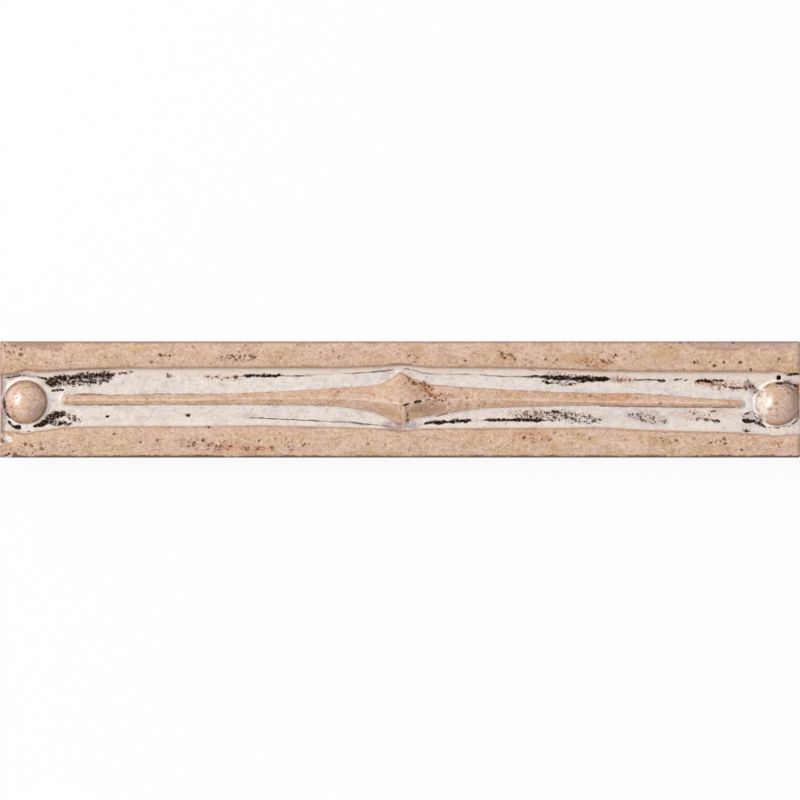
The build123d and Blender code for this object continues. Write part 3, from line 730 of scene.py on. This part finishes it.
# Wiped to the pale slip; on the right bead's left flank this is also a painted highlight.
wiped_and_highlit = mark("wiped_and_highlit")
wiped_and_highlit_grain = math("MULTIPLY", swing(1.1, 1.3, detail=4.0, shift=19.0), ramp(wiped_and_highlit, 0.02, 0.25))
ground = blend(ramp(math("ADD", wiped_and_highlit, wiped_and_highlit_grain), 0.1, 1.0), ground, SLIP_PALE)
# The rib painted pale pink: a painted highlight on its lit side.
ground = blend(math("MULTIPLY", mark("painted_rib_highlight"), 0.7), ground, RIB_HIGHLIGHT_PINK)

# Black oxide: pencil-thin lines in the valleys, and crusts that break up into grains. The same black also
# paints a few shadow lines, beside the rib and under the right bead.
valley_wobble = math("ADD", swing(0.16, 0.5, shift=87.0), swing(0.12, 1.6, shift=89.0))
valley_place = math("ABSOLUTE", math("ADD", mark("valley"), valley_wobble))
valley_width = ramp(cloud(0.4, shift=107.0), 0.3, 0.7, 0.06, 0.2)
valley_line = ramp(math("SUBTRACT", valley_place, valley_width), 0.06, -0.04)
valley_tone = math("ADD", mark("valley_dark"), swing(0.7, 0.35, shift=113.0))
ground = blend(math("MULTIPLY", valley_line, ramp(valley_tone, 0.15, 1.0, 0.0, 0.95)), ground, OXIDE_AND_SHADOW_GREY)
oxide_and_shadow_mark = mark("oxide_and_shadow")
oxide_and_shadow_grain = swing(1.6, 2.2, detail=5.0, rough=0.7, shift=57.0)
oxide_and_shadow_amount = math("ADD", oxide_and_shadow_mark, math("MULTIPLY", oxide_and_shadow_grain, ramp(oxide_and_shadow_mark, 0.02, 0.3)))
thin_oxide_and_shadow = ramp(oxide_and_shadow_amount, 0.26, 0.5)
thick_oxide_and_shadow = ramp(oxide_and_shadow_amount, 0.48, 0.72)
crust_and_shadow = blend(ramp(cloud(2.0, detail=2.0, shift=101.0), 0.5, 0.66), OXIDE_AND_SHADOW_BLACK, OXIDE_AND_SHADOW_GREY)
ground = blend(ramp(oxide_and_shadow_mark, 0.3, 0.9, 0.0, 0.5), ground, OXIDE_AND_SHADOW_THIN)
ground = blend(math("MULTIPLY", thin_oxide_and_shadow, 0.75), ground, OXIDE_AND_SHADOW_THIN)
ground = blend(thick_oxide_and_shadow, ground, crust_and_shadow)

# Worn edges in painted shade, chips and pits
edge_noise = math("ADD", swing(0.5, 0.5, shift=77.0, stretch=(0.5, 1, 1)), swing(0.4, 1.5, shift=79.0))
# Both long edges darker: wear, and painted shade on their rolled edges, deepest along the lower one.
ground = blend(ramp(math("ADD", mark("upper_edge_wear_and_shade"), edge_noise), 0.3, 0.9, 0.0, 0.8), ground, WORN_AND_SHADED_UPPER)
ground = blend(ramp(math("ADD", mark("lower_edge_wear_and_shade"), edge_noise), 0.3, 0.75, 0.0, 0.9), ground, WORN_AND_SHADED_LOWER)
# Brown at both ends: painted shade on the end bevels, partly brown wear.
ground = blend(ramp(math("ADD", mark("ends"), edge_noise), 0.2, 0.7, 0.0, 0.55), ground, BREAK_AND_SHADE_BROWN)
ground = blend(ramp(mark("hole"), 0.05, 0.4), ground, OXIDE_AND_SHADOW_BLACK)
ground = blend(math("MULTIPLY", mark("chip"), ramp(thick_oxide_and_shadow, 0.2, 0.8, 1.0, 0.2)), ground, SLIP)
ground = blend(mark("pinhole"), ground, OXIDE_AND_SHADOW_THIN)

# Bare clay
clay = blend(ramp(cloud(0.12, detail=5.0, shift=83.0), 0.3, 0.7, 0.0, 0.6), BARE_CLAY, BARE_CLAY_DARK)
clay = blend(ramp(fine_grain, 0.5, 0.3, 0.0, 0.7), clay, BARE_CLAY_DARK)
clay = blend(ramp(grain, 0.5, 0.75, 0.0, 0.6), clay, BEIGE_PALE)
clay = blend(math("MULTIPLY", dots(0.9, 0.16, 0.3, 127.0), 0.45), clay, SPECK)
run_depth = math("MULTIPLY_ADD", cloud(0.35, shift=37.0), 6.0, -1.6)
bare = ramp(math("SUBTRACT", mark("drop"), run_depth), 0.2, 0.7)
finish_colour = blend(bare, ground, clay)

SATIN = (0.28, 0.42)  # roughness of the glaze, at its smoothest and at its dullest
CLAY_ROUGHNESS = 0.9
CRUST_SINK = 0.4  # how far a crust lies below the grain of the glaze, as a share of its bump
BUMP_STRENGTH = 0.2
BUMP_DEPTH = 0.06 * MM
BODY_SPECULAR = 0.15
COAT_ROUGHNESS = 0.26
COAT_IOR = 1.7
RAIL_GLOSS = 0.25  # coat of the rails and the channel, beside a full one on the beads
satin = ramp(cloud(0.8, shift=13.0), 0.35, 0.65, *SATIN)
rough = math("MAXIMUM", satin, thick_oxide_and_shadow)
rough = math("MAXIMUM", rough, math("MULTIPLY", bare, CLAY_ROUGHNESS))
grain_height = math("SUBTRACT", grain, math("MULTIPLY", thick_oxide_and_shadow, CRUST_SINK))
skin_bump = shade(
    "ShaderNodeBump", {"Height": grain_height, "Strength": BUMP_STRENGTH, "Distance": BUMP_DEPTH},
)
gloss = math("SUBTRACT", 1.0, math("MAXIMUM", thick_oxide_and_shadow, bare))
gloss = math("MULTIPLY", gloss, ramp(off_bead, 0.2, -0.4, RAIL_GLOSS, 1.0))
surface = shade(
    "ShaderNodeBsdfPrincipled",
    {
        "Base Color": finish_colour, "Roughness": rough, "Normal": skin_bump.outputs["Normal"],
        "Specular IOR Level": BODY_SPECULAR, "Coat Weight": gloss,
        "Coat Roughness": COAT_ROUGHNESS, "Coat IOR": COAT_IOR,
    },
)
shade("ShaderNodeOutputMaterial", {"Surface": surface.outputs["BSDF"]})

# Kiln pinholes and press ripple
# Gas left small pits in the glaze, and the hand-pressed clay is never quite level. A node tree scatters
# the pits over the glazed face and ripples the skin.

RIPPLE_HEIGHT = 0.05 * MM
RIPPLE_LENGTH = 5.0 * MM
PIT_SPACING = 4.0 * MM
PIT_RADIUS = 0.36 * MM
PIT_DEPTH = 0.2 * MM
SMALLEST_PIT = 0.15  # as a share of the largest
PIT_DENSITY = 4e5  # to a square metre, before their spacing thins them out
PIT_SEED = 7

worked = bpy.data.node_groups.new("worked_skin", "GeometryNodeTree")
sockets = (
    ("Geometry", "INPUT", "NodeSocketGeometry", None),
    ("Ripple Height", "INPUT", "NodeSocketFloat", RIPPLE_HEIGHT),
    ("Ripple Length", "INPUT", "NodeSocketFloat", RIPPLE_LENGTH),
    ("Pit Spacing", "INPUT", "NodeSocketFloat", PIT_SPACING),
    ("Pit Radius", "INPUT", "NodeSocketFloat", PIT_RADIUS),
    ("Pit Depth", "INPUT", "NodeSocketFloat", PIT_DEPTH),
    ("Seed", "INPUT", "NodeSocketInt", PIT_SEED),
    ("Glaze", "INPUT", "NodeSocketMaterial", glaze),
    ("Geometry", "OUTPUT", "NodeSocketGeometry", None),
)
identifiers = {}
for name, side, kind, value in sockets:
    socket = worked.interface.new_socket(name=name, in_out=side, socket_type=kind)
    if side == "INPUT":
        identifiers[name] = (socket.identifier, value)


def work(kind, inputs=None, **options):
    """A node of the tree that works the skin."""
    return place(worked, kind, inputs, **options)


def reckon(operation, *terms, clamp=False):
    """A sum in that tree."""
    return work("ShaderNodeMath", dict(enumerate(terms)), operation=operation, use_clamp=clamp).outputs[0]


given = work("NodeGroupInput").outputs
normal = work("GeometryNodeInputNormal").outputs["Normal"]


def pushed(geometry, distance):
    """The skin moved along its normals."""
    along_normal = work("ShaderNodeVectorMath", {0: normal, "Scale": distance}, operation="SCALE")
    moved = work("GeometryNodeSetPosition", {"Geometry": geometry, "Offset": along_normal.outputs[0]})
    return moved.outputs["Geometry"]


glazed = work("GeometryNodeInputNamedAttribute", {"Name": "glazed"}, data_type="FLOAT").outputs[0]
ripple = work(
    "ShaderNodeTexNoise",
    {"Scale": reckon("DIVIDE", 1.0, given["Ripple Length"]), "Detail": 2.0, "Roughness": 0.6},
).outputs["Fac"]
ripple_range = reckon("MULTIPLY", given["Ripple Height"], 2.0)
ripple_push = reckon("MULTIPLY", reckon("SUBTRACT", ripple, 0.5), ripple_range)
rippled = pushed(given["Geometry"], reckon("MULTIPLY", ripple_push, glazed))
pits = work(
    "GeometryNodeDistributePointsOnFaces",
    {
        "Mesh": rippled, "Distance Min": given["Pit Spacing"], "Density Max": PIT_DENSITY,
        "Density Factor": glazed, "Seed": given["Seed"],
    },
    distribute_method="POISSON",
).outputs["Points"]
drawn = {2: SMALLEST_PIT, 3: 1.0, "Seed": given["Seed"]}
spread = work("FunctionNodeRandomValue", drawn, data_type="FLOAT")
sized = work(
    "GeometryNodeStoreNamedAttribute",
    {"Geometry": pits, "Name": "pit_size", "Value": spread.outputs[1]}, data_type="FLOAT", domain="POINT",
).outputs["Geometry"]
near = work("GeometryNodeProximity", {"Target": sized}, target_element="POINTS").outputs["Distance"]
nearest = work("GeometryNodeSampleNearest", {"Geometry": sized}, domain="POINT").outputs["Index"]
pit_size = work("GeometryNodeInputNamedAttribute", {"Name": "pit_size"}, data_type="FLOAT").outputs[0]
size_there = work(
    "GeometryNodeSampleIndex", {"Geometry": sized, "Value": pit_size, "Index": nearest}, data_type="FLOAT",
).outputs["Value"]
reach = reckon("MULTIPLY", size_there, given["Pit Radius"])
within = reckon("SUBTRACT", 1.0, reckon("DIVIDE", near, reach), clamp=True)
hollow = reckon("MULTIPLY", within, glazed)
pitted = pushed(rippled, reckon("MULTIPLY", hollow, reckon("MULTIPLY", given["Pit Depth"], -1.0)))
noted = work(
    "GeometryNodeStoreNamedAttribute",
    {"Geometry": pitted, "Name": "pinhole", "Value": hollow}, data_type="FLOAT", domain="POINT",
).outputs["Geometry"]
realized = work("GeometryNodeRealizeInstances", {"Geometry": noted}).outputs["Geometry"]
coated = work("GeometryNodeSetMaterial", {"Geometry": realized, "Material": given["Glaze"]})
work("NodeGroupOutput", {"Geometry": coated.outputs["Geometry"]})

working = tile.modifiers.new("worked_skin", "NODES")
working.node_group = worked
for name, (identifier, value) in identifiers.items():
    if value is not None:
        working[identifier] = value
state = bpy.context.evaluated_depsgraph_get()
finished = bpy.data.meshes.new_from_object(
    tile.evaluated_get(state), preserve_all_data_layers=True, depsgraph=state,
)
tile.modifiers.remove(working)
tile.data = finished
bpy.data.meshes.remove(body_mesh)
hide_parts("border_tile")
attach(tile, "root")

# Floor and light
# A plain white floor under one broad soft lamp from the left and an even white sky. Both look plain
# white to the camera and in a gloss, and the floor keeps a soft shadow.

FLOOR_HALF = 2.0
FLOOR_CORNERS = ((-1, -1), (1, -1), (1, 1), (-1, 1))
SHADOW_SHARE = 0.1  # how much of the floor's brightness comes from the lamp and the sky
FLOOR_GREY = (0.95, 0.95, 0.95, 1)
FLOOR_GLOW = 1.0
SKY_GLOW = 1.0
SKY_STRENGTH = 0.42
WHITE = (1, 1, 1, 1)

floor_mesh = bpy.data.meshes.new("floor")
floor_points = [(x * FLOOR_HALF, y * FLOOR_HALF, low.z) for x, y in FLOOR_CORNERS]
floor_mesh.from_pydata(floor_points, [], [(0, 1, 2, 3)])
floor = bpy.data.objects.new("floor", floor_mesh)
bpy.context.scene.collection.objects.link(floor)


def seen_white(tree, under, glow, share):
    """Lays a plain white glow over a shader for rays from the camera, a gloss or a glass."""
    ray = place(tree, "ShaderNodeLightPath").outputs
    seen = ray["Is Camera Ray"]
    for other in ("Is Glossy Ray", "Is Transmission Ray"):
        seen = place(tree, "ShaderNodeMath", {0: seen, 1: ray[other]}, operation="MAXIMUM").outputs[0]
    amount = place(tree, "ShaderNodeMath", {0: seen, 1: share}, operation="MULTIPLY").outputs[0]
    return place(tree, "ShaderNodeMixShader", {0: amount, 1: under, 2: glow}).outputs[0]


white_floor = bpy.data.materials.new("white_floor")
white_floor.use_nodes = True
floor_tree = white_floor.node_tree
floor_tree.nodes.clear()
floor_mesh.materials.append(white_floor)
matt = place(floor_tree, "ShaderNodeBsdfDiffuse", {"Color": FLOOR_GREY}).outputs[0]
floor_glow = place(floor_tree, "ShaderNodeEmission", {"Color": WHITE, "Strength": FLOOR_GLOW}).outputs[0]
floor_look = seen_white(floor_tree, matt, floor_glow, 1 - SHADOW_SHARE)
place(floor_tree, "ShaderNodeOutputMaterial", {"Surface": floor_look})

sky = bpy.data.worlds.new("studio")
bpy.context.scene.world = sky
sky.use_nodes = True
sky_tree = sky.node_tree
sky_tree.nodes.clear()
ambient = place(sky_tree, "ShaderNodeBackground", {"Color": WHITE, "Strength": SKY_STRENGTH}).outputs[0]
sky_glow = place(sky_tree, "ShaderNodeBackground", {"Color": WHITE, "Strength": SKY_GLOW}).outputs[0]
sky_look = seen_white(sky_tree, ambient, sky_glow, 1.0)
place(sky_tree, "ShaderNodeOutputWorld", {"Surface": sky_look})

KEY_POSITION = Vector((-1.57, 0.48, 1.89))
KEY_WIDE = 1.8
KEY_TALL = 0.95
KEY_POWER = 49.5
key = bpy.data.lights.new("key_from_left", "AREA")
key.shape = "RECTANGLE"
key.size = KEY_WIDE
key.size_y = KEY_TALL
key.energy = KEY_POWER
key_holder = bpy.data.objects.new("key_from_left", key)
key_holder.location = KEY_POSITION
key_holder.rotation_euler = (-KEY_POSITION).to_track_quat("-Z", "Y").to_euler()
bpy.context.scene.collection.objects.link(key_holder)

# Camera
# It looks straight down on the face through a long lens, so that the ends show no side, with the
# tile's length filling the frame.

LENS = 600.0
SENSOR = 36.0
FACE_LEVEL = 7.5 * MM
FRAME_WIDTH = 2 * HALF_LENGTH * MM
SIGHT_ACROSS = -0.1 * MM
lens = bpy.data.cameras.new("camera")
lens.lens = LENS
lens.sensor_width = SENSOR
camera = bpy.data.objects.new("camera", lens)
camera.location = (0, SIGHT_ACROSS, FACE_LEVEL + FRAME_WIDTH * LENS / SENSOR)
bpy.context.scene.collection.objects.link(camera)
bpy.context.scene.camera = camera
bpy.context.scene.view_settings.view_transform = "Standard"
